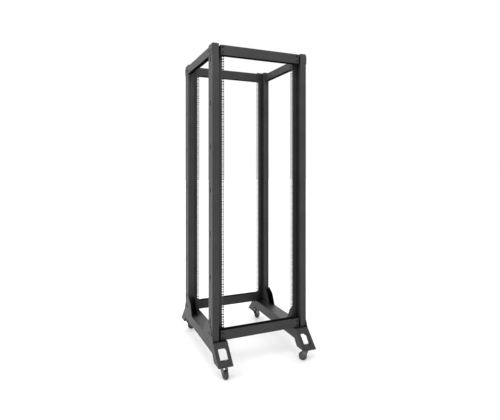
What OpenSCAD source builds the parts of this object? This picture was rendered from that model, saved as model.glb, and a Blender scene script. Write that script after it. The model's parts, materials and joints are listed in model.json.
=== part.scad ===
// Open-frame equipment rack on castors: four posts with square-hole rails, six cross
// beams and two channel legs. The front faces -Y. The origin is on the floor, under
// the middle of the rack, and +Z points up. All sizes are in millimetres.

/* [Equipment bay] */
// Number of rack units between the top and bottom beams
rack_units = 36; // [12:1:44]
// Clear width between the rails
bay_w = 450; // [440:1:470]
// Depth over the outer faces of the posts
frame_d = 620; // [500:10:900]

/* [Posts] */
// Width of a post's box column, seen from the front
post_w = 40; // [36:1:50]
// Depth of a post's box column
post_d = 80; // [70:1:100]
// Width of the rail flange that carries the square holes
rail_w = 46; // [42:1:50]
// How far the rail's front face is set back from the post's front face
rail_set_back = 46; // [42:1:52]
// Thickness of the folded sheet
sheet_t = 2; // [1.5:0.5:2.5]
// Distance between the slots in a post's outer side
slot_pitch = 254; // [200:2:300]

/* [Beams] */
// Height of every cross beam
beam_h = 58; // [50:1:70]
// How far the cross beams are set back from the posts' front faces
beam_recess = 4; // [2:1:10]
// How far the top cross beams sit below the posts' upper ends
beam_drop = 4; // [2:1:8]
// Thickness of the side beams, from the posts' outer faces inwards
side_beam_w = 30; // [24:1:36]
// Height of the side beams
side_beam_h = 51; // [44:1:54]

/* [Legs] */
// Height of the posts' lower ends above the floor
post_base_z = 176; // [170:1:190]
// How far each foot reaches past the posts
foot_reach = 114; // [110:1:140]
// Depth of the leg channel between the feet
leg_h = 60; // [50:1:70]
// Height of the gusset ears above the leg channel
ear_h = 106; // [90:1:115]
// Width of the hand window in each sloping end plate
window_w = 46; // [36:1:50]
// Length of the hand window along the slope
window_l = 70; // [50:1:72]

/* [Castors] */
// Radius of the castor wheels
wheel_r = 25; // [23:0.5:26]
// Width of the castor tyres
tyre_w = 19; // [16:0.5:20]
// Overall height of a castor
castor_h = 76; // [75:0.5:77]
// Distance of a wheel's axle from its swivel axis
trail = 20; // [18:0.5:21]

/* [Hidden] */
// Standard 19-inch rail spacing
UNIT_H = 44.45;
HOLE_SIDE = 9.5;
HOLE_COLUMNS = 465.1;
HOLE_OFFSETS = [6.35, 22.225, 38.1];

frame_w = bay_w + 2 * (post_w + rail_w);
side_x = frame_w / 2;
front_y = frame_d / 2;
bay_h = rack_units * UNIT_H;
end_margin = beam_drop + beam_h;
post_l = bay_h + 2 * end_margin;
post_top_z = post_base_z + post_l;
post_inner_y = front_y - post_d;
return_x = side_x - post_w;
rail_x = bay_w / 2;
rail_t = sheet_t;
rail_y = front_y - rail_set_back;
skin_x = side_x + sheet_t;
bend_r = 2 * sheet_t;
fit_gap = 0.5;

slot_w = 11;
slot_l = 30;
slot_top = 88;
slot_count = floor((post_l - slot_top - ear_h) / slot_pitch) + 1;

// M6 frame fasteners
bolt_r = 3;
bolt_hole_r = 3.3;
bolt_head_r = 5.6;
bolt_head_h = 3.4;
bolt_l = 14;
nut_r = 5.9;
nut_bore_r = bolt_r + 0.1;
nut_h = 5;
// Their places on a beam end, and on the side skins that overlap a post
beam_end_gap = 12;
beam_bolt_inset = 11;
beam_bolt_x = return_x - beam_end_gap - beam_bolt_inset;
beam_bolt_dz = 14;
skin_bolt_inset = 22;
skin_bolt_y = [front_y - skin_bolt_inset, front_y - post_d + skin_bolt_inset];
leg_bolt_z = post_base_z + 36;
gusset_t = 2;
accessory_hole_r = 4.5;

// Beams
cross_beam_z = [post_base_z, post_top_z - end_margin];
side_beam_z = post_top_z - end_margin;
top_bolt_z = side_beam_z + side_beam_h / 2;

// Leg and foot, with the crown and the tail of its ears
ear_crown_y = -post_inner_y + 8;
ear_tail_l = 87;
foot_z = castor_h;
foot_plate_t = 3;
foot_end_y = front_y + foot_reach;
foot_start_y = front_y + 30;
slope_top_y = front_y + 14;
window_corner_r = 4;
slope_run = foot_end_y - slope_top_y;
slope_rise = post_base_z - foot_z;
slope_angle = atan2(slope_rise, slope_run);
castor_x = (skin_x + rail_x) / 2;

// Castor stack, upwards from the floor
plate_w = 60;
plate_t = 2.5;
plate_inset = 9;
castor_y = foot_start_y + plate_inset + plate_w / 2;
plate_hole = 22.5;
plate_z = castor_h - plate_t;
race_r = 21;
race_z = plate_z - 2.5;
ball_r = 2.2;
ball_ring_r = 14.5;
ball_count = 14;
ball_gap = 0.1;
crown_t = 3;
rim_w = 2.2;
crown_z = race_z - ball_gap - 2 * ball_r;
pin_r = 4.95;
pin_head_r = 8;
pin_head_h = 3;
running_gap = 0.05;
head_gap = 0.2;
// Hexagons of the castor screws, their nuts and the axles
hex_r = 5.2;
axle_head_h = 3.2;
axle_nut_h = 4;
fork_in = 12.5;
fork_t = 2.5;
axle_r = 3;
screw_r = 3;
screw_hole_r = 3.2;
screw_head_h = 3.6;
hub_w = 23.6;
rim_r = wheel_r - 5.5;

// Each corner: name, side (-1 left), end (-1 front), and direction of the castor's trail
CORNERS = [
    ["front_left", -1, -1, 280],
    ["front_right", 1, -1, 148],
    ["rear_left", -1, 1, 15],
    ["rear_right", 1, 1, 30],
];
SIDES = [["left", -1], ["right", 1]];
ENDS = [["front", -1], ["rear", 1]];
CASTOR_PIECES = ["castor_plate", "castor_king_pin", "castor_balls", "castor_fork",
                 "castor_axle", "wheel_core", "wheel_tyre"];

COATING = [0.20, 0.20, 0.21];
BLACK_STEEL = [0.12, 0.12, 0.13];
ZINC = [0.62, 0.63, 0.65];
RUBBER = [0.16, 0.16, 0.17];
NYLON = [0.55, 0.56, 0.58];

// ---------- outlines ----------

function unit(v) = v / norm(v);

// The arc that rounds the corner at b, between a and c, with radius r
function corner_arc(a, b, c, r, steps = 5) =
    let (u = unit(a - b),
         v = unit(c - b),
         half = acos(u * v) / 2,
         centre = b + unit(u + v) * r / sin(half),
         start = b + u * r / tan(half) - centre,
         finish = b + v * r / tan(half) - centre,
         from = atan2(start.y, start.x),
         turn = atan2(cross(start, finish), start * finish))
    [for (k = [0 : steps]) centre + r * [cos(from + turn * k / steps), sin(from + turn * k / steps)]];

// A closed outline whose corners [x, y, radius] are rounded where the radius is not zero
function rounded(corners) =
    let (n = len(corners), at = [for (p = corners) [p.x, p.y]])
    [for (i = [0 : n - 1])
        each corners[i].z > 0
            ? corner_arc(at[(i + n - 1) % n], at[i], at[(i + 1) % n], corners[i].z)
            : [at[i]]];

// A rectangle centred on the origin with true round corners
module rounded_rect(w, h, r) {
    square([w, h - 2 * r], center = true);
    square([w - 2 * r, h], center = true);
    for (x = [-1, 1], y = [-1, 1])
        translate([x * (w / 2 - r), y * (h / 2 - r)]) circle(r = r, $fn = 32);
}

// Extrudes a Y-Z outline along +X, starting at x
module along_x(x, length) {
    translate([x, 0, 0]) rotate([90, 0, 90]) linear_extrude(length) children();
}

// Turns a piece made for the front left corner into the piece for corner c
module to_corner(c) {
    mirror([c[1] > 0 ? 1 : 0, 0, 0]) mirror([0, c[2] > 0 ? 1 : 0, 0]) children();
}

// Turns a piece made for the left into the piece for side s
module to_side(s) {
    mirror([s[1] > 0 ? 1 : 0, 0, 0]) children();
}

// Turns a piece made for the front into the piece for end e
module to_end(e) {
    mirror([0, e[1] > 0 ? 1 : 0, 0]) children();
}

// ---------- fasteners ----------

// A button-head bolt along +Z with its seat at z = 0
module bolt(r, length, head_r, head_h) {
    cylinder(r = r, h = length, $fn = 32);
    difference() {
        translate([0, 0, -head_h]) cylinder(r1 = head_r * 0.72, r2 = head_r, h = head_h, $fn = 32);
        translate([0, 0, -head_h - 1]) cylinder(r = r * 0.62, h = head_h * 0.55 + 1, $fn = 6);
    }
}

// A hexagon nut along +Z with its seat at z = 0
module nut(r, bore_r, h) {
    difference() {
        cylinder(r = r, h = h, $fn = 6);
        translate([0, 0, -1]) cylinder(r = bore_r, h = h + 2, $fn = 32);
    }
}

// ---------- posts ----------

// One folded post: box column, rail flange set back from its front, and welded end plates
module post() {
    color(COATING)
    difference() {
        union() {
            translate([-side_x + post_w / 2, -front_y + post_d / 2, post_base_z]) post_column();
            rail();
        }
        post_slots();
        post_bolt_holes();
    }
}

module post_column() {
    linear_extrude(post_l)
        difference() {
            rounded_rect(post_w, post_d, bend_r);
            rounded_rect(post_w - 2 * sheet_t, post_d - 2 * sheet_t, bend_r - sheet_t);
        }
    for (z = [0, post_l - sheet_t])
        translate([0, 0, z]) linear_extrude(sheet_t)
            rounded_rect(post_w - sheet_t, post_d - sheet_t, bend_r - sheet_t / 2);
}

// The flange, with three square holes in every rack unit and round holes for the beams
module rail() {
    translate([0, -rail_y + rail_t, 0]) rotate([90, 0, 0])
        linear_extrude(rail_t)
            difference() {
                translate([-return_x - sheet_t, post_base_z])
                    square([rail_w + sheet_t, post_l]);
                for (u = [0 : rack_units - 1], z = HOLE_OFFSETS)
                    translate([-HOLE_COLUMNS / 2, post_base_z + end_margin + u * UNIT_H + z])
                        square(HOLE_SIDE, center = true);
                for (z = beam_bolt_heights())
                    translate([-beam_bolt_x, z]) circle(r = bolt_hole_r, $fn = 32);
            }
}

function beam_bolt_heights() = [for (z = cross_beam_z, d = [-1, 1]) z + beam_h / 2 + d * beam_bolt_dz];

module post_slots() {
    straight = slot_l - slot_w;
    for (i = [0 : slot_count - 1])
        translate([-side_x, -front_y + post_d / 2, post_top_z - slot_top - i * slot_pitch])
            rotate([0, 90, 0])
                translate([0, 0, -1]) linear_extrude(sheet_t + 2) {
                    square([straight, slot_w], center = true);
                    for (d = [-1, 1])
                        translate([d * straight / 2, 0]) circle(d = slot_w, $fn = 32);
                }
}

module post_bolt_holes() {
    for (y = skin_bolt_y, z = [leg_bolt_z, top_bolt_z])
        hole_along_x(-side_x - 1, y, z, sheet_t + 2);
    hole_along_x(-return_x - sheet_t - 1, skin_bolt_y[1], leg_bolt_z, sheet_t + 2);
}

// A bolt hole along +X for the front left corner
module hole_along_x(x, y, z, length) {
    translate([x, -y, z]) rotate([0, 90, 0]) cylinder(r = bolt_hole_r, h = length, $fn = 32);
}

// ---------- beams ----------

// A front or rear beam: a channel that lies in front of the two rails. Its open side faces
// into the bay, so it is turned over at the top
module cross_beam(top) {
    depth = front_y - beam_recess - rail_y;
    length = 2 * (return_x - beam_end_gap);
    z0 = cross_beam_z[top ? 1 : 0];
    color(COATING)
    difference() {
        translate([-length / 2, -rail_y - depth, z0 + (top ? beam_h : 0)])
            mirror([0, 0, top ? 1 : 0]) channel([length, depth, beam_h]);
        for (x = [-beam_bolt_x, beam_bolt_x], d = [-1, 1])
            translate([x, -rail_y + 1, z0 + beam_h / 2 + d * beam_bolt_dz])
                rotate([90, 0, 0]) cylinder(r = bolt_hole_r, h = depth + 2, $fn = 32);
    }
}

// A folded channel along X, open at the top and at both ends
module channel(size) {
    along_x(0, size.x)
        difference() {
            polygon(rounded([
                [0, 0, bend_r], [size.y, 0, bend_r], [size.y, size.z, 0], [0, size.z, 0]]));
            translate([sheet_t, sheet_t])
                polygon(rounded([
                    [0, 0, bend_r - sheet_t], [size.y - 2 * sheet_t, 0, bend_r - sheet_t],
                    [size.y - 2 * sheet_t, size.z, 0], [0, size.z, 0]]));
        }
}

// A side beam: a turned-over channel between the posts, whose outer skin overlaps both
module side_beam() {
    channel_w = side_beam_w + sheet_t;
    channel_l = 2 * (post_inner_y - fit_gap);
    top_z = side_beam_z + side_beam_h;
    color(COATING)
    difference() {
        union() {
            translate([-skin_x, -channel_l / 2, top_z]) rotate([180, 0, 90])
                channel([channel_l, channel_w, side_beam_h]);
            along_x(-skin_x, sheet_t)
                polygon(rounded([
                    for (p = [[-1, side_beam_z], [1, side_beam_z], [1, top_z], [-1, top_z]])
                        [p[0] * front_y, p[1], bend_r]]));
        }
        for (y = skin_bolt_y, e = [-1, 1])
            hole_along_x(-skin_x - 1, e * y, top_bolt_z, sheet_t + 2);
        translate([-skin_x - 1, 0, top_bolt_z]) rotate([0, 90, 0])
            cylinder(r = accessory_hole_r, h = sheet_t + 2, $fn = 32);
    }
}

// ---------- legs ----------

// One leg: inverted channel with gusset ears, dropped feet and sloping end plates
module leg() {
    color(COATING)
    difference() {
        union() {
            along_x(-skin_x, sheet_t) leg_outline(true);
            along_x(-rail_x - sheet_t, sheet_t) leg_outline(false);
            along_x(-skin_x, skin_x - rail_x) leg_web();
            for (e = ENDS) to_end(e) {
                along_x(-skin_x, skin_x - rail_x)
                    translate([-foot_end_y, foot_z])
                        square([foot_end_y - foot_start_y, foot_plate_t]);
                along_x(-return_x, gusset_t) inner_gusset_outline();
            }
        }
        for (e = ENDS) to_end(e) {
            hand_window();
            leg_bolt_holes();
            foot_holes();
        }
    }
}

// Side plate of a leg in the Y-Z plane, with or without the ears
module leg_outline(with_ears) {
    for (e = [-1, 1])
        mirror([e > 0 ? 1 : 0, 0])
            polygon(rounded(concat(
                [[0, post_base_z - leg_h, 0],
                 [-front_y, post_base_z - leg_h, 8],
                 [-foot_start_y, foot_z, 8],
                 [-foot_end_y, foot_z, 2],
                 [-slope_top_y, post_base_z, with_ears ? 4 : 2]],
                with_ears ? ear_corners() : [],
                [[0, post_base_z, 0]])));
}

// The ear rises over the side of the post and falls away towards the middle of the leg
function ear_corners() = concat(
    [[-front_y + 1, post_base_z + 0.34 * ear_h, 5],
     [-front_y + post_d / 2, post_base_z + 0.80 * ear_h, 20]],
    ear_tail()
);

// The tail that the outer ear and the inner gusset share: its crown, shoulder and foot
function ear_tail() = [
    [ear_crown_y, post_base_z + ear_h, 6],
    [ear_crown_y + ear_tail_l * 0.57, post_base_z + 0.70 * ear_h, 14],
    [ear_crown_y + ear_tail_l, post_base_z, 6],
];

// The welded gusset that stands on the channel, against the inner side of the box column
module inner_gusset_outline() {
    start_y = -rail_y + rail_t + 1;
    polygon(rounded(concat(
        [[start_y, post_base_z - sheet_t, 0],
         [start_y, post_base_z + 0.62 * ear_h, 6],
         [-post_inner_y - 6, post_base_z + ear_h, 6]],
        ear_tail(),
        [[ear_crown_y + ear_tail_l, post_base_z - sheet_t, 0]])));
}

// Top of the channel, which folds down into a sloping plate at both ends
module leg_web() {
    fold_in = sheet_t * tan(slope_angle / 2);
    foot_in = sheet_t / sin(slope_angle);
    for (e = [-1, 1])
        mirror([e > 0 ? 1 : 0, 0])
            polygon([
                [0, post_base_z], [-slope_top_y, post_base_z], [-foot_end_y, foot_z],
                [-foot_end_y + foot_in, foot_z],
                [-slope_top_y + fold_in, post_base_z - sheet_t], [0, post_base_z - sheet_t]]);
}

module hand_window() {
    translate([-castor_x, -(slope_top_y + foot_end_y) / 2, (post_base_z + foot_z) / 2])
        rotate([slope_angle, 0, 0])
            translate([0, 0, -8]) linear_extrude(16) rounded_rect(window_w, window_l, window_corner_r);
}

module leg_bolt_holes() {
    for (y = skin_bolt_y) hole_along_x(-skin_x - 1, y, leg_bolt_z, sheet_t + 2);
    hole_along_x(-return_x - 1, skin_bolt_y[1], leg_bolt_z, gusset_t + 2);
}

module foot_holes() {
    for (x = [-1, 1], y = [-1, 1])
        translate([-castor_x + x * plate_hole, -castor_y + y * plate_hole, foot_z - 1])
            cylinder(r = screw_hole_r, h = foot_plate_t + 2, $fn = 32);
}

// ---------- frame fasteners ----------

// Calls its children at each cross beam bolt, where the beam's front face meets the bolt
module at_beam_bolts() {
    for (e = ENDS, x = [-beam_bolt_x, beam_bolt_x], z = beam_bolt_heights())
        to_end(e) translate([x, -front_y + beam_recess, z]) rotate([-90, 0, 0]) children();
}

// Calls its children at each bolt of the side beams, on the outer skin, aimed inwards
module at_side_beam_bolts() {
    for (s = SIDES, e = [-1, 1], y = skin_bolt_y)
        to_side(s) translate([-skin_x, e * y, top_bolt_z]) rotate([0, 90, 0]) children();
}

// Calls its children at each bolt in the legs' outer ears, aimed inwards
module at_ear_bolts() {
    for (c = CORNERS, y = skin_bolt_y)
        to_corner(c) translate([-skin_x, -y, leg_bolt_z]) rotate([0, 90, 0]) children();
}

// Calls its children at each bolt in the legs' inner gussets, aimed outwards
module at_gusset_bolts() {
    for (c = CORNERS)
        to_corner(c) translate([-return_x + gusset_t, -skin_bolt_y[1], leg_bolt_z])
            rotate([0, -90, 0]) children();
}

module frame_bolt(length) {
    bolt(bolt_r, length, bolt_head_r, bolt_head_h);
}

// A nut at the far side of two sheets that lie together
module frame_nut(grip) {
    translate([0, 0, grip]) nut(nut_r, nut_bore_r, nut_h);
}

module beam_bolts() {
    grip = front_y - beam_recess - rail_y + rail_t;
    color(BLACK_STEEL) {
        at_beam_bolts() frame_bolt(grip + nut_h + 2);
        at_side_beam_bolts() frame_bolt(bolt_l);
    }
}

module beam_nuts() {
    color(BLACK_STEEL) {
        at_beam_bolts() frame_nut(front_y - beam_recess - rail_y + rail_t);
        at_side_beam_bolts() frame_nut(2 * sheet_t);
    }
}

module leg_bolts() {
    color(BLACK_STEEL) {
        at_ear_bolts() frame_bolt(bolt_l);
        at_gusset_bolts() frame_bolt(bolt_l);
    }
}

module leg_rivet_nuts() {
    color(BLACK_STEEL) {
        at_ear_bolts() frame_nut(2 * sheet_t);
        at_gusset_bolts() frame_nut(gusset_t + sheet_t);
    }
}

// Calls its children at the four screw places of every castor plate
module at_castor_screws() {
    for (c = CORNERS, x = [-1, 1], y = [-1, 1])
        translate([c[1] * castor_x + x * plate_hole, c[2] * castor_y + y * plate_hole, 0]) children();
}

module castor_screws() {
    color(ZINC)
    at_castor_screws() translate([0, 0, plate_z - screw_head_h]) {
        cylinder(r = hex_r, h = screw_head_h, $fn = 6);
        cylinder(r = screw_r, h = screw_head_h + plate_t + foot_plate_t + 6.5, $fn = 32);
    }
}

module castor_nuts() {
    color(ZINC)
    at_castor_screws() translate([0, 0, foot_z + foot_plate_t]) nut(hex_r, screw_r + 0.1, nut_h);
}

// ---------- castors, each in its own axes: swivel axis on Z, trail along +X ----------

module at_castor(c) {
    translate([c[1] * castor_x, c[2] * castor_y, 0]) rotate(c[3]) children();
}

// The plate stays square to the leg, so the castor's trail direction is turned back out
module castor_plate(c) {
    color(ZINC)
    rotate(-c[3])
    difference() {
        union() {
            translate([0, 0, plate_z]) linear_extrude(plate_t) rounded_rect(plate_w, plate_w, 6);
            translate([0, 0, race_z]) cylinder(r = race_r, h = plate_z - race_z + 0.5, $fn = 64);
        }
        translate([0, 0, race_z - 1])
            cylinder(r = pin_r + running_gap, h = castor_h - race_z + 2, $fn = 48);
        for (x = [-1, 1], y = [-1, 1])
            translate([x * plate_hole, y * plate_hole, plate_z - 1])
                cylinder(r = screw_hole_r, h = plate_t + 2, $fn = 32);
    }
}

module castor_king_pin() {
    head_z = crown_z - crown_t - head_gap - pin_head_h;
    color(ZINC) {
        translate([0, 0, head_z]) cylinder(r = pin_head_r, h = pin_head_h, $fn = 32);
        translate([0, 0, head_z + pin_head_h / 2])
            cylinder(r = pin_r, h = castor_h - head_z - pin_head_h / 2, $fn = 48);
    }
}

module castor_balls() {
    color(ZINC)
    for (i = [0 : ball_count - 1])
        rotate(i * 360 / ball_count)
            translate([ball_ring_r, 0, crown_z + ball_r]) sphere(r = ball_r, $fn = 24);
}

// The swivelling yoke: crown, raised dust rim and two legs down to the axle
module castor_fork() {
    color(ZINC)
    difference() {
        union() {
            translate([0, 0, crown_z - crown_t]) cylinder(r = race_r, h = crown_t, $fn = 64);
            difference() {
                translate([0, 0, crown_z - 1]) cylinder(r = race_r, h = 3, $fn = 64);
                translate([0, 0, crown_z - 2]) cylinder(r = race_r - rim_w, h = 5, $fn = 64);
            }
            for (y = [-fork_in, fork_in + fork_t])
                translate([0, y, 0]) rotate([90, 0, 0]) linear_extrude(fork_t) fork_leg_outline();
        }
        translate([0, 0, crown_z - crown_t - 1])
            cylinder(r = pin_r + running_gap, h = crown_t + 2, $fn = 48);
        across_castor(trail, wheel_r, axle_r + running_gap, 2 * (fork_in + fork_t) + 2);
    }
}

// A fork leg, from the crown back and down to a round end about the axle
module fork_leg_outline() {
    back = 13;
    end_r = 8.5;
    polygon(rounded([
        [-back, crown_z, 0], [back, crown_z, 0], [trail + 5, crown_z - 8, 5],
        [trail + end_r, wheel_r + 4, 8], [trail + end_r, wheel_r - end_r, end_r - 0.5],
        [trail - end_r, wheel_r - end_r, end_r - 0.5], [-back, crown_z - 12, 6]]));
}

// A round bar across the castor, centred on it, at x and z
module across_castor(x, z, r, length) {
    translate([x, 0, z]) rotate([90, 0, 0]) cylinder(r = r, h = length, center = true, $fn = 48);
}

module castor_axle() {
    outer = fork_in + fork_t;
    color(ZINC) {
        across_castor(trail, wheel_r, axle_r, 2 * outer + 5);
        translate([trail, -outer, wheel_r]) rotate([90, 0, 0]) cylinder(r = hex_r, h = axle_head_h, $fn = 6);
        translate([trail, outer + axle_nut_h, wheel_r])
            rotate([90, 0, 0]) cylinder(r = hex_r, h = axle_nut_h, $fn = 6);
    }
}

// Moulded wheel centre: hub boss, dished web and rim
module wheel_core() {
    bore = axle_r + running_gap;
    face_w = tyre_w - 1;
    color(NYLON)
    translate([trail, 0, wheel_r]) rotate([90, 0, 0]) rotate_extrude($fn = 64)
        polygon([
            [bore, -hub_w / 2], [6, -hub_w / 2], [8, -hub_w / 2 + 4], [9, -3.5], [rim_r - 3.5, -3],
            [rim_r - 2, -face_w / 2], [rim_r, -face_w / 2], [rim_r, face_w / 2],
            [rim_r - 2, face_w / 2], [rim_r - 3.5, 3], [9, 3.5], [8, hub_w / 2 - 4],
            [6, hub_w / 2], [bore, hub_w / 2]]);
}

// Rubber tread with rounded shoulders
module wheel_tyre() {
    shoulder = 3.5;
    color(RUBBER)
    translate([trail, 0, wheel_r]) rotate([90, 0, 0]) rotate_extrude($fn = 64)
        difference() {
            translate([wheel_r / 2, 0]) rounded_rect(wheel_r, tyre_w, shoulder);
            translate([-1, -tyre_w]) square([rim_r + 1, 2 * tyre_w]);
        }
}

// ---------- nodes ----------

for (c = CORNERS) {
    to_corner(c) post();
    at_castor(c) castor_plate(c);
    at_castor(c) castor_king_pin();
    at_castor(c) castor_balls();
    at_castor(c) castor_fork();
    at_castor(c) castor_axle();
    at_castor(c) wheel_core();
    at_castor(c) wheel_tyre();
}
for (e = ENDS) {
    to_end(e) cross_beam(true);
    to_end(e) cross_beam(false);
}
for (s = SIDES) {
    to_side(s) side_beam();
    to_side(s) leg();
}
beam_bolts();
beam_nuts();
leg_bolts();
leg_rivet_nuts();
castor_screws();
castor_nuts();
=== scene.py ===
"""Blender looks for the open-frame equipment rack: camera, studio, materials and fine detail."""
import json
import math
import random

import bmesh
import bpy
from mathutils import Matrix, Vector


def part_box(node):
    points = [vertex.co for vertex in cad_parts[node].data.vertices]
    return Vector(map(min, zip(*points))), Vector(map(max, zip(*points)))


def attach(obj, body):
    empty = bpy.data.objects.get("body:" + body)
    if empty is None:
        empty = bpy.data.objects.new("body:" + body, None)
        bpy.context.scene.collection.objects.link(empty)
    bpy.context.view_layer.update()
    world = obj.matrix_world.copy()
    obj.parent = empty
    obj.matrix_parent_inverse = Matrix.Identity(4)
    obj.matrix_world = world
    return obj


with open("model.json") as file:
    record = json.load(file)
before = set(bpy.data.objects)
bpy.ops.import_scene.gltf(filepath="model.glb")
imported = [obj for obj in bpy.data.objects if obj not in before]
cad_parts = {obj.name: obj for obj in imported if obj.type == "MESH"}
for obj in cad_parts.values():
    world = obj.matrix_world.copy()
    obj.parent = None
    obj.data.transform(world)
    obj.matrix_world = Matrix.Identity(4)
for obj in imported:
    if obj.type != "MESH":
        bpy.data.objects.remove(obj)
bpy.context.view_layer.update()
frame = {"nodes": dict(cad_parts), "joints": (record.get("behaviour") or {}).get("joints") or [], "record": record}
NODES = frame["nodes"]
RECORD = frame["record"]
SLOT_OF = {part["node"]: part["material_slot"] for part in RECORD["subparts"]}
JOINTS = {joint["name"]: joint for joint in frame["joints"]}
CORNERS = ("front_left", "front_right", "rear_left", "rear_right")
MM = 0.001
UP = Vector((0, 0, 1))

# Bolts with their middle nearer than this to the rack's middle plane are in the inner gussets
INNER_BOLT_X = 285 * MM
BOLT_HEAD = 3.4 * MM

# Inner radius, outer radius and thickness
BOLT_WASHER = (5.65 * MM, 8.2 * MM, 1.1 * MM)
NUT_WASHER = (5.3 * MM, 7.6 * MM, 0.9 * MM)
AXLE_WASHER = (5.3 * MM, 7.2 * MM, 0.8 * MM)

# How far a gusset's weld runs from the post's inner face: towards the end and the middle
WELD_LEAD = 31 * MM
WELD_RUN = 94 * MM
WELD_RADIUS = 2.6 * MM
WELD_STEP = 0.9 * MM

# Half the width over a castor's fork, and the moulding on its wheel
FORK_HALF = 15 * MM
RIB_COUNT = 6
RIB_TURN = 0.3
RIB_INNER = 8.4 * MM
RIB_OUTER = 16.6 * MM
RIB_BASE = 2.6 * MM
RIB_CREST = 6.6 * MM
RIB_HALF = 0.9 * MM

# Outlines of turned rings, in millimetres: radius, and distance from the wheel's middle plane;
# and radius, and height as a share of a ball's
TYRE_RING = [(20.6, 9.2), (21.8, 9.2), (21.6, 9.75), (20.8, 9.75)]
SEAL = [(17.3, 0.1), (18.5, 0.1), (18.3, 0.5), (17.9, 0.97), (17.5, 0.97)]


# ---------- camera ----------

def make_camera():
    """Eye-level two-point view from the front left, with the horizon held high by a shift."""
    data = bpy.data.cameras.new("camera")
    data.sensor_width = 36.0
    data.lens = 29.14
    data.shift_y = -0.0816
    data.clip_end = 60.0
    camera = bpy.data.objects.new("camera", data)
    camera.location = (-1.0335, -2.5269, 1.1721)
    camera.rotation_euler = (math.radians(90), 0, -math.radians(23.34))
    bpy.context.scene.collection.objects.link(camera)
    bpy.context.scene.camera = camera


# ---------- studio ----------

def new_mesh_object(name, mesh_data):
    obj = bpy.data.objects.new(name, mesh_data)
    bpy.context.scene.collection.objects.link(obj)
    return obj


def make_studio():
    """White surroundings and floor, a wide main light on the left, and light on the top."""
    view = bpy.context.scene.view_settings
    view.view_transform = "Standard"
    view.look = "None"

    world = bpy.data.worlds.new("studio")
    world.use_nodes = True
    background = world.node_tree.nodes["Background"]
    background.inputs["Color"].default_value = (1.0, 1.0, 1.0, 1.0)
    background.inputs["Strength"].default_value = 1.0
    bpy.context.scene.world = world

    make_floor()
    wide_light("key_light", (-3.0, -0.2, 1.6), 60, 1.5)
    wide_light("rear_light", (0.6, 2.0, 1.4), 60, 0.8)
    panel_light("top_front_light", (-0.5, -1.9, 2.9), (0.0, -0.3, 1.75), 1.6, 22.0)


def make_floor():
    floor_data = bpy.data.meshes.new("floor")
    reach = 40.0
    corners = [(-reach, -reach, 0), (reach, -reach, 0), (reach, reach, 0), (-reach, reach, 0)]
    floor_data.from_pydata(corners, [], [(0, 1, 2, 3)])
    floor = new_mesh_object("studio_floor", floor_data)
    floor.data.materials.append(floor_material())


def wide_light(name, towards, spread, strength):
    """A soft light of the same strength everywhere, which comes from the direction given."""
    data = bpy.data.lights.new(name, "SUN")
    data.angle = math.radians(spread)
    data.energy = strength
    light = bpy.data.objects.new(name, data)
    light.rotation_euler = Vector(towards).to_track_quat("Z", "Y").to_euler()
    light.location = towards
    bpy.context.scene.collection.objects.link(light)


def panel_light(name, place, target, size, power):
    """A square light panel that faces the target."""
    data = bpy.data.lights.new(name, "AREA")
    data.size = size
    data.energy = power
    light = bpy.data.objects.new(name, data)
    light.location = place
    aim = Vector(target) - light.location
    light.rotation_euler = aim.to_track_quat("-Z", "Y").to_euler()
    bpy.context.scene.collection.objects.link(light)


def floor_material():
    """Near-white and matt, with a faint glow of its own that keeps shadows light."""
    material = bpy.data.materials.new("studio_floor")
    material.use_nodes = True
    shader = material.node_tree.nodes["Principled BSDF"]
    shader.inputs["Base Color"].default_value = (0.90, 0.90, 0.90, 1)
    shader.inputs["Roughness"].default_value = 0.9
    shader.inputs["Specular IOR Level"].default_value = 0.1
    shader.inputs["Emission Color"].default_value = (1.0, 1.0, 1.0, 1.0)
    shader.inputs["Emission Strength"].default_value = 0.08
    return material


# ---------- materials ----------

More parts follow.
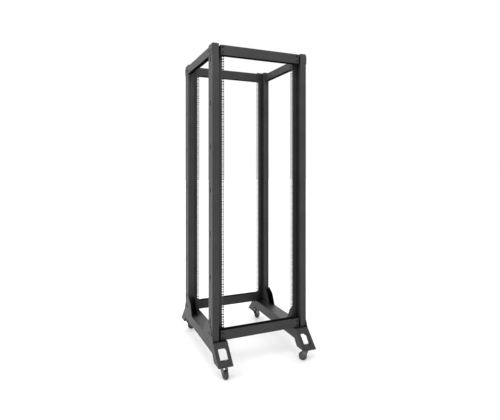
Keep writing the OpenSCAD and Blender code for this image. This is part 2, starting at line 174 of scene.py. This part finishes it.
class Graph:
    """A material's node tree, with short calls for the nodes that every material here uses."""

    def __init__(self, name):
        self.material = bpy.data.materials.new(name)
        self.material.use_nodes = True
        self.tree = self.material.node_tree
        self.shader = self.tree.nodes["Principled BSDF"]
        self.position = self.add("ShaderNodeTexCoord").outputs["Object"]

    def add(self, kind, **settings):
        node = self.tree.nodes.new(kind)
        for key, value in settings.items():
            setattr(node, key, value)
        return node

    def feed(self, socket, value):
        """Links the value to the socket if it is a node's output, or sets it."""
        if isinstance(value, bpy.types.NodeSocket):
            self.tree.links.new(value, socket)
        else:
            socket.default_value = value

    def noise(self, scale, detail=3.0, rough=0.55, stretch=None):
        node = self.add("ShaderNodeTexNoise")
        node.inputs["Scale"].default_value = scale
        node.inputs["Detail"].default_value = detail
        node.inputs["Roughness"].default_value = rough
        source = self.position
        if stretch:
            mapping = self.add("ShaderNodeMapping")
            mapping.inputs["Scale"].default_value = stretch
            self.feed(mapping.inputs["Vector"], source)
            source = mapping.outputs["Vector"]
        self.feed(node.inputs["Vector"], source)
        return node.outputs["Fac"]

    def cells(self, scale):
        node = self.add("ShaderNodeTexVoronoi")
        node.inputs["Scale"].default_value = scale
        self.feed(node.inputs["Vector"], self.position)
        return node.outputs["Distance"]

    def span(self, value, low_in, high_in, low_out, high_out):
        node = self.add("ShaderNodeMapRange")
        node.inputs["From Min"].default_value = low_in
        node.inputs["From Max"].default_value = high_in
        node.inputs["To Min"].default_value = low_out
        node.inputs["To Max"].default_value = high_out
        self.feed(node.inputs["Value"], value)
        return node.outputs["Result"]

    def maths(self, operation, first, second):
        node = self.add("ShaderNodeMath", operation=operation)
        self.feed(node.inputs[0], first)
        self.feed(node.inputs[1], second)
        return node.outputs[0]

    def blend(self, amount, first, second):
        node = self.add("ShaderNodeMix", data_type="RGBA")
        self.feed(node.inputs["Factor"], amount)
        self.feed(node.inputs[6], first)
        self.feed(node.inputs[7], second)
        return node.outputs[2]

    def edge_mask(self, radius):
        """1 on convex and concave edges within radius, 0 on flats."""
        bevel = self.add("ShaderNodeBevel", samples=4)
        bevel.inputs["Radius"].default_value = radius
        geometry = self.add("ShaderNodeNewGeometry")
        dot = self.add("ShaderNodeVectorMath", operation="DOT_PRODUCT")
        self.feed(dot.inputs[0], bevel.outputs["Normal"])
        self.feed(dot.inputs[1], geometry.outputs["Normal"])
        return self.span(dot.outputs["Value"], 0.995, 0.80, 0.0, 1.0)

    def soft_edges(self, radius):
        """The surface's direction with its edges rounded over the radius."""
        bevel = self.add("ShaderNodeBevel", samples=4)
        bevel.inputs["Radius"].default_value = radius
        return bevel.outputs["Normal"]

    def painted_recess_shade(self, reach):
        """0 on open surfaces, towards 1 deep in channels and corners: the mask for painted shade, taken from
        ambient occlusion.
        """
        open_sky = self.add("ShaderNodeAmbientOcclusion", samples=6)
        open_sky.inputs["Distance"].default_value = reach
        return self.span(open_sky.outputs["AO"], 0.88, 0.40, 0.0, 1.0)

    def bump(self, height, strength, distance, under=None):
        node = self.add("ShaderNodeBump")
        node.inputs["Strength"].default_value = strength
        node.inputs["Distance"].default_value = distance
        self.feed(node.inputs["Height"], height)
        if under:
            self.feed(node.inputs["Normal"], under)
        return node.outputs["Normal"]

    def finish(self, color, rough, normal=None, metallic=0.0, specular=0.5):
        inputs = self.shader.inputs
        self.feed(inputs["Base Color"], color)
        self.feed(inputs["Roughness"], rough)
        inputs["Metallic"].default_value = metallic
        inputs["Specular IOR Level"].default_value = specular
        if normal:
            self.feed(inputs["Normal"], normal)
        return self.material


def grey(level, tint=0.0):
    """A grey that leans towards blue by the tint."""
    return (level * (1 - tint), level, level * (1 + tint), 1)


def powder_coat():
    """Matt charcoal powder coat: fine orange-peel grain, faint mottling, rubbed edges, and painted shade that
    darkens it towards black in channels and corners.
    """
    g = Graph("powder_coat")
    mottle = g.noise(7, 3)
    grain = g.noise(1300, 2, 0.6)
    peel = g.cells(650)
    color = g.blend(g.span(mottle, 0.35, 0.65, 0, 1), grey(0.022, 0.01), grey(0.029, 0.01))
    rubbed = g.maths("MULTIPLY", g.edge_mask(0.0012), g.span(g.noise(60, 4), 0.42, 0.68, 0.05, 0.55))
    color = g.blend(rubbed, color, grey(0.060))
    # Painted shade: ambient occlusion darkens the coat to near black deep in channels, recesses and corners, where
    # shade falls.
    color = g.blend(g.painted_recess_shade(0.12), color, grey(0.003))
    rough = g.span(g.noise(90, 3), 0.3, 0.7, 0.42, 0.54)
    normal = g.bump(grain, 0.25, 0.00012, g.soft_edges(0.0008))
    normal = g.bump(peel, 0.30, 0.00020, normal)
    return g.finish(color, rough, normal, specular=0.27)


def black_oxide():
    """Satin black bolts with worn brighter edges."""
    g = Graph("black_oxide")
    worn = g.maths("MULTIPLY", g.edge_mask(0.0006), g.span(g.noise(300, 3), 0.4, 0.65, 0.1, 0.8))
    color = g.blend(worn, grey(0.018), grey(0.16))
    rough = g.span(g.noise(500, 3), 0.3, 0.7, 0.32, 0.5)
    normal = g.bump(g.noise(1500, 2), 0.15, 0.00008)
    return g.finish(color, rough, normal, metallic=0.6)


def zinc_plate(name, dark, light, rough_low):
    """Zinc on pressed steel: cloudy tone, fine drawing marks and duller patches."""
    g = Graph(name)
    cloud = g.noise(120, 4)
    color = g.blend(g.span(cloud, 0.35, 0.65, 0, 1), dark, light)
    lines = g.noise(900, 2, 0.5, stretch=(1, 1, 0.08))
    rough = g.span(g.noise(220, 3), 0.3, 0.7, rough_low, rough_low + 0.18)
    normal = g.bump(lines, 0.12, 0.00008)
    return g.finish(color, rough, normal, metallic=0.9)


def polished_steel():
    """Bearing balls: bright, with slight changes of polish."""
    g = Graph("polished_steel")
    rough = g.span(g.noise(800, 2), 0.3, 0.7, 0.10, 0.20)
    color = g.blend(g.noise(400), grey(0.50), grey(0.60))
    return g.finish(color, rough, metallic=1.0)


def tyre_rubber():
    """Matt grey-black rubber with scuffs and a dusty tread."""
    g = Graph("tyre_rubber")
    dust = g.span(g.noise(260, 4, 0.65), 0.48, 0.72, 0.0, 0.55)
    color = g.blend(dust, grey(0.030), grey(0.075, -0.03))
    rough = g.span(g.noise(180, 3), 0.3, 0.7, 0.62, 0.82)
    normal = g.bump(g.noise(1100, 3), 0.35, 0.00015)
    return g.finish(color, rough, normal, specular=0.35)


def moulded_nylon():
    """Dark grey moulded nylon with a soft sheen and faint flow marks."""
    g = Graph("moulded_nylon")
    flow = g.noise(90, 3)
    color = g.blend(g.span(flow, 0.3, 0.7, 0, 1), grey(0.075, 0.01), grey(0.10, 0.01))
    rough = g.span(g.noise(400, 2), 0.3, 0.7, 0.38, 0.52)
    normal = g.bump(g.noise(900, 2), 0.15, 0.0001)
    return g.finish(color, rough, normal)


def weld_steel():
    """Weld beads under the coat: charcoal, a little lighter than the sheet round them."""
    g = Graph("coated_weld")
    color = g.blend(g.noise(200, 3), grey(0.042), grey(0.062))
    normal = g.bump(g.noise(900, 3), 0.4, 0.0002)
    return g.finish(color, g.span(g.noise(300), 0.3, 0.7, 0.42, 0.58), normal)


def make_materials():
    return {
        "frame_coating": powder_coat(),
        "black_fasteners": black_oxide(),
        "zinc_fasteners": zinc_plate("zinc_plate", grey(0.42, 0.02), grey(0.58, 0.02), 0.28),
        "castor_metal": zinc_plate("castor_zinc", grey(0.09, 0.02), grey(0.15, 0.02), 0.32),
        "ball_steel": polished_steel(),
        "wheel_rubber": tyre_rubber(),
        "wheel_nylon": moulded_nylon(),
        "weld": weld_steel(),
    }


def paint(obj, material):
    obj.data.materials.clear()
    obj.data.materials.append(material)


# ---------- fine detail ----------

def middle(node):
    """The centre of a node's box."""
    low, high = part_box(node)
    return (Vector(low) + Vector(high)) / 2


def finish_piece(name, mesh, body, material):
    """Turns the bmesh into a smooth-shaded piece that rides the body."""
    bmesh.ops.recalc_face_normals(mesh, faces=mesh.faces)
    data = bpy.data.meshes.new(name)
    mesh.to_mesh(data)
    mesh.free()
    data.polygons.foreach_set("use_smooth", [True] * len(data.polygons))
    piece = new_mesh_object(name, data)
    piece.data.materials.append(material)
    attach(piece, body)


def add_ring(mesh, centre, axis, profile, steps=32):
    """Adds a ring: a closed profile of (radius, height) points turned about the axis."""
    turn = Vector(axis).to_track_quat("Z", "X")
    loops = []
    for i in range(steps):
        angle = 2 * math.pi * i / steps
        across = turn @ Vector((math.cos(angle), math.sin(angle), 0))
        along = turn @ UP
        loops.append([
            mesh.verts.new(Vector(centre) + across * radius + along * height)
            for radius, height in profile
        ])
    count = len(profile)
    for i in range(steps):
        here = loops[i]
        following = loops[(i + 1) % steps]
        for k in range(count):
            after = (k + 1) % count
            mesh.faces.new((here[k], following[k], following[after], here[after]))


def washer_profile(inner, outer, thick):
    """A flat ring with its outer edges eased."""
    ease = thick * 0.35
    return [
        (inner, 0.0), (outer, 0.0), (outer, thick - ease),
        (outer - ease, thick), (inner, thick),
    ]


def solids_of(node):
    """The lowest and highest corner of every separate solid in a node."""
    source = bmesh.new()
    source.from_mesh(NODES[node].data)
    bmesh.ops.remove_doubles(source, verts=source.verts, dist=1e-6)
    unseen = set(source.verts)
    boxes = []
    for seed in source.verts:
        if seed not in unseen:
            continue
        unseen.remove(seed)
        group = [seed]
        for vert in group:
            for edge in vert.link_edges:
                other = edge.other_vert(vert)
                if other in unseen:
                    unseen.remove(other)
                    group.append(other)
        low = Vector([min(v.co[i] for v in group) for i in range(3)])
        high = Vector([max(v.co[i] for v in group) for i in range(3)])
        boxes.append((low, high))
    source.free()
    return boxes


def bolt_seats(node):
    """Seat and outward direction of every bolt in a node; its head is at the outward end."""
    seats = []
    for low, high in solids_of(node):
        size = high - low
        lengthwise = max(range(3), key=lambda i: size[i])
        centre = (low + high) / 2
        outward = Vector((0, 0, 0))
        outward[lengthwise] = math.copysign(1, centre[lengthwise])
        if lengthwise == 0 and abs(centre.x) < INNER_BOLT_X:
            outward = -outward
        seats.append((centre + outward * (size[lengthwise] / 2 - BOLT_HEAD), outward))
    return seats


def make_bolt_washers():
    """Flat black washers round the frame bolts' button heads."""
    profile = washer_profile(*BOLT_WASHER)
    for node in ("beam_bolts", "leg_bolts"):
        slot = SLOT_OF[node]
        mesh = bmesh.new()
        for seat, outward in bolt_seats(node):
            add_ring(mesh, seat, outward, profile)
        finish_piece(node + "_washers", mesh, "root", MATERIALS[slot])


def make_castor_nut_washers():
    """Plated washers round the castor nuts, on the foot plates."""
    mesh = bmesh.new()
    profile = washer_profile(*NUT_WASHER)
    for low, high in solids_of("castor_nuts"):
        centre = (low + high) / 2
        add_ring(mesh, (centre.x, centre.y, low.z), UP, profile)
    slot = SLOT_OF["castor_nuts"]
    finish_piece("castor_nut_washers", mesh, "root", MATERIALS[slot])


def add_bead(mesh, start, end, side):
    """Adds a rippled fillet weld from start to end, in the corner between side and up."""
    start = Vector(start)
    run = Vector(end) - start
    steps = round(run.length / WELD_STEP)
    sections = []
    for i in range(steps + 1):
        share = i / steps
        ripple = 1 + 0.16 * math.sin(share * steps * math.pi / 2)
        unevenness = 1 + 0.10 * random.uniform(-1, 1)
        taper = min(1.0, 0.35 + 8 * min(share, 1 - share))
        size = WELD_RADIUS * ripple * unevenness * taper
        section = [start + run * share]
        for angle in (0, 22, 45, 68, 90):
            turn = math.radians(angle)
            crown = 0.86 + 0.14 * abs(math.cos(2 * turn))
            arm = side * math.cos(turn) + UP * math.sin(turn)
            section.append(start + run * share + arm * size * crown)
        sections.append([mesh.verts.new(point) for point in section])
    count = len(sections[0])
    for here, following in zip(sections, sections[1:]):
        for k in range(count):
            after = (k + 1) % count
            mesh.faces.new((here[k], following[k], following[after], here[after]))
    mesh.faces.new(sections[0])
    mesh.faces.new(list(reversed(sections[-1])))


def make_gusset_welds():
    """Fillet welds where the legs' inner gussets stand on the leg channels."""
    mesh = bmesh.new()
    for seat, outward in bolt_seats("leg_bolts"):
        if abs(seat.x) > INNER_BOLT_X:
            continue
        near = "front" if seat.y < 0 else "rear"
        post_low, post_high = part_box(near + "_left_post")
        inner_y = min(abs(post_low[1]), abs(post_high[1]))
        towards_end = math.copysign(1, seat.y)
        start = (seat.x, towards_end * (inner_y + WELD_LEAD), post_low[2])
        end = (seat.x, towards_end * (inner_y - WELD_RUN), post_low[2])
        add_bead(mesh, start, end, outward)
    finish_piece("gusset_welds", mesh, "root", MATERIALS["weld"])


def add_rib(mesh, centre, axis, arm):
    """Adds a rib along arm to a wheel centre's face: it narrows upwards and falls outwards."""
    sideways = axis.cross(arm)
    shoulder = RIB_BASE + 0.6 * (RIB_CREST - RIB_BASE)
    low = []
    high = []
    for radius, sign, top in (
        (RIB_INNER, -1, RIB_CREST), (RIB_OUTER, -1, shoulder),
        (RIB_OUTER, 1, shoulder), (RIB_INNER, 1, RIB_CREST),
    ):
        foot = centre + arm * radius
        low.append(mesh.verts.new(foot + sideways * sign * RIB_HALF + axis * RIB_BASE))
        high.append(mesh.verts.new(foot + sideways * sign * RIB_HALF * 0.6 + axis * top))
    mesh.faces.new(list(reversed(low)))
    mesh.faces.new(high)
    for k in range(4):
        after = (k + 1) % 4
        mesh.faces.new((low[k], low[after], high[after], high[k]))


def axle_line(corner):
    """The middle of a corner's wheel, and the direction of its axle."""
    axis = Vector(JOINTS[corner + "_wheel_spin"]["axis"]).normalized()
    return middle(corner + "_wheel_tyre"), axis


def make_wheel_detail(corner):
    """Moulded ribs on a wheel centre's two faces, and a fine ring on each wall of the tyre."""
    centre, axis = axle_line(corner)
    across = axis.cross(UP).normalized()
    ribs = bmesh.new()
    rings = bmesh.new()
    for side in (axis, -axis):
        for i in range(RIB_COUNT):
            angle = 2 * math.pi * i / RIB_COUNT + RIB_TURN
            add_rib(ribs, centre, side, across * math.cos(angle) + UP * math.sin(angle))
        add_ring(rings, centre, side, [(r * MM, h * MM) for r, h in TYRE_RING], 48)
    wheel = corner + "_wheel"
    finish_piece(wheel + "_ribs", ribs, wheel, MATERIALS["wheel_nylon"])
    finish_piece(wheel + "_wall_rings", rings, wheel, MATERIALS["wheel_rubber"])


def make_swivel_detail(corner):
    """Washers on the axle and a rubber dust seal round the ball race, which turn with a fork."""
    centre, axis = axle_line(corner)
    washers = bmesh.new()
    profile = washer_profile(*AXLE_WASHER)
    for side in (axis, -axis):
        add_ring(washers, centre + side * FORK_HALF, side, profile)
    swivel = corner + "_swivel"
    finish_piece(swivel + "_washers", washers, swivel, MATERIALS["castor_metal"])

    pin = middle(corner + "_castor_king_pin")
    balls_low, balls_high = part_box(corner + "_castor_balls")
    height = balls_high[2] - balls_low[2]
    profile = [(r * MM, balls_low[2] + share * height) for r, share in SEAL]
    seal = bmesh.new()
    add_ring(seal, (pin.x, pin.y, 0), UP, profile, 64)
    finish_piece(swivel + "_seal", seal, swivel, MATERIALS["wheel_rubber"])


make_camera()
make_studio()
MATERIALS = make_materials()
for node_name, node_object in NODES.items():
    paint(node_object, MATERIALS[SLOT_OF[node_name]])

random.seed(7)
make_bolt_washers()
make_castor_nut_washers()
make_gusset_welds()
for corner_name in CORNERS:
    make_wheel_detail(corner_name)
    make_swivel_detail(corner_name)
